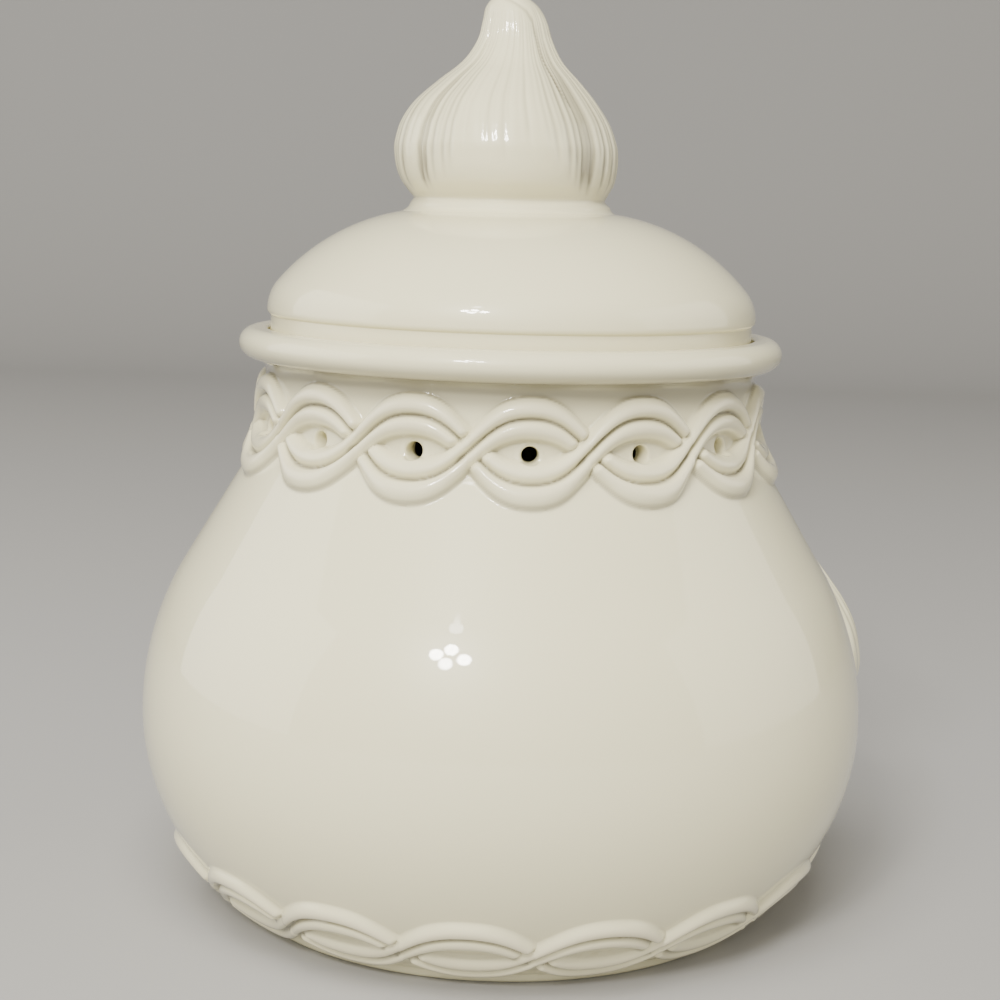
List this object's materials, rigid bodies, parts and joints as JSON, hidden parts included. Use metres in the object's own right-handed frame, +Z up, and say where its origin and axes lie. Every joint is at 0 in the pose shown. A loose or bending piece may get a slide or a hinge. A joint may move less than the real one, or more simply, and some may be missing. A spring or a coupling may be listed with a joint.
{
  "type": "garlic keeper",
  "caption": "Pear-shaped glazed jar with a plaited, vented neck, a plaited foot and a lift-off domed lid with a garlic-bulb knob, for keeping garlic.",
  "frame": {"origin": "centre of the foot ring, on the table", "axes": "+Z up along the jar's axis; -Y is the plain front, with the garlic bulb in relief on the right of it, just past +X"},
  "size_m": [0.1714, 0.168, 0.21],
  "materials": {
    "ivory_glaze": "gloss"
  },
  "bodies": {
    "jar_body": {"jar": "ivory_glaze", "neck_braid": "ivory_glaze", "foot_braid": "ivory_glaze", "garlic_sprig": "ivory_glaze"},
    "lid_body": {"lid": "ivory_glaze", "garlic_knob": "ivory_glaze"}
  },
  "joints": [
    {"name": "lid_lift", "type": "slide", "parent": "jar_body", "child": "lid_body", "axis": [0, 0, 1], "range_m": [0, 0.04]}
  ]
}
